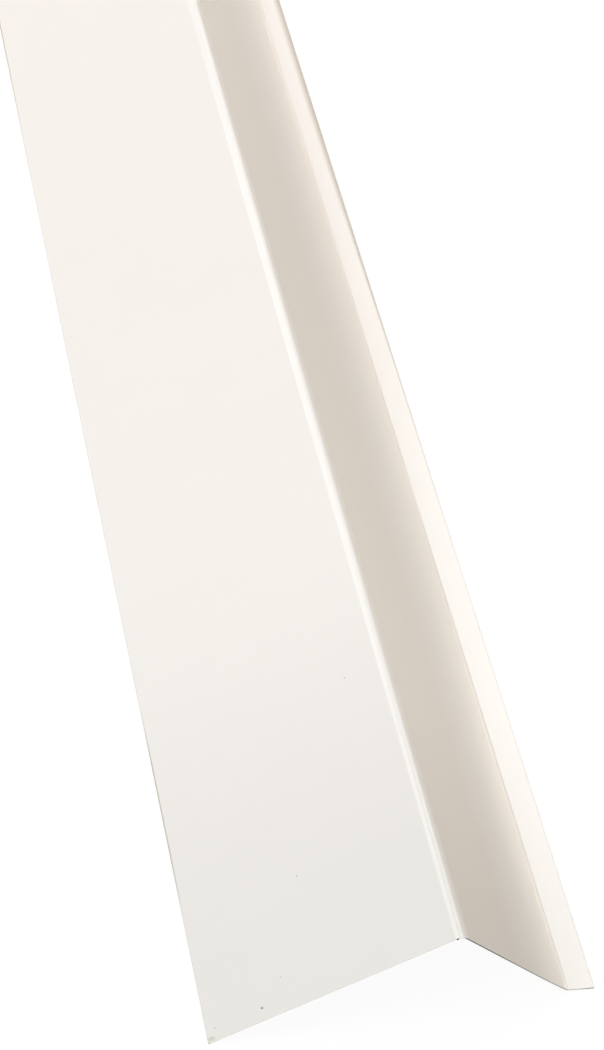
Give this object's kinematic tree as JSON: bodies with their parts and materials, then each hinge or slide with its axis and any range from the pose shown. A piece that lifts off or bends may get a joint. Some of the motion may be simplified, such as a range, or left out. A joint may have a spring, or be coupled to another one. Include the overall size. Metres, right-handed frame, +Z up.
{
  "type": "drip edge flashing",
  "caption": "Long white painted sheet steel drip edge with a wide roof flange, an angled fascia face and a narrow kick-out lip.",
  "frame": {"origin": "on the floor under the middle of the piece: half way along its length and half way across its width", "axes": "+Y along the length, away from the end shown nearest in the picture; +X across the piece from the roof flange towards the kick-out lip; +Z up"},
  "size_m": [0.1488, 3.048, 0.0409],
  "materials": {
    "white_paint": "satin white coil paint on galvanised steel"
  },
  "bodies": {
    "root": {"drip_edge": "white_paint"}
  },
  "joints": []
}
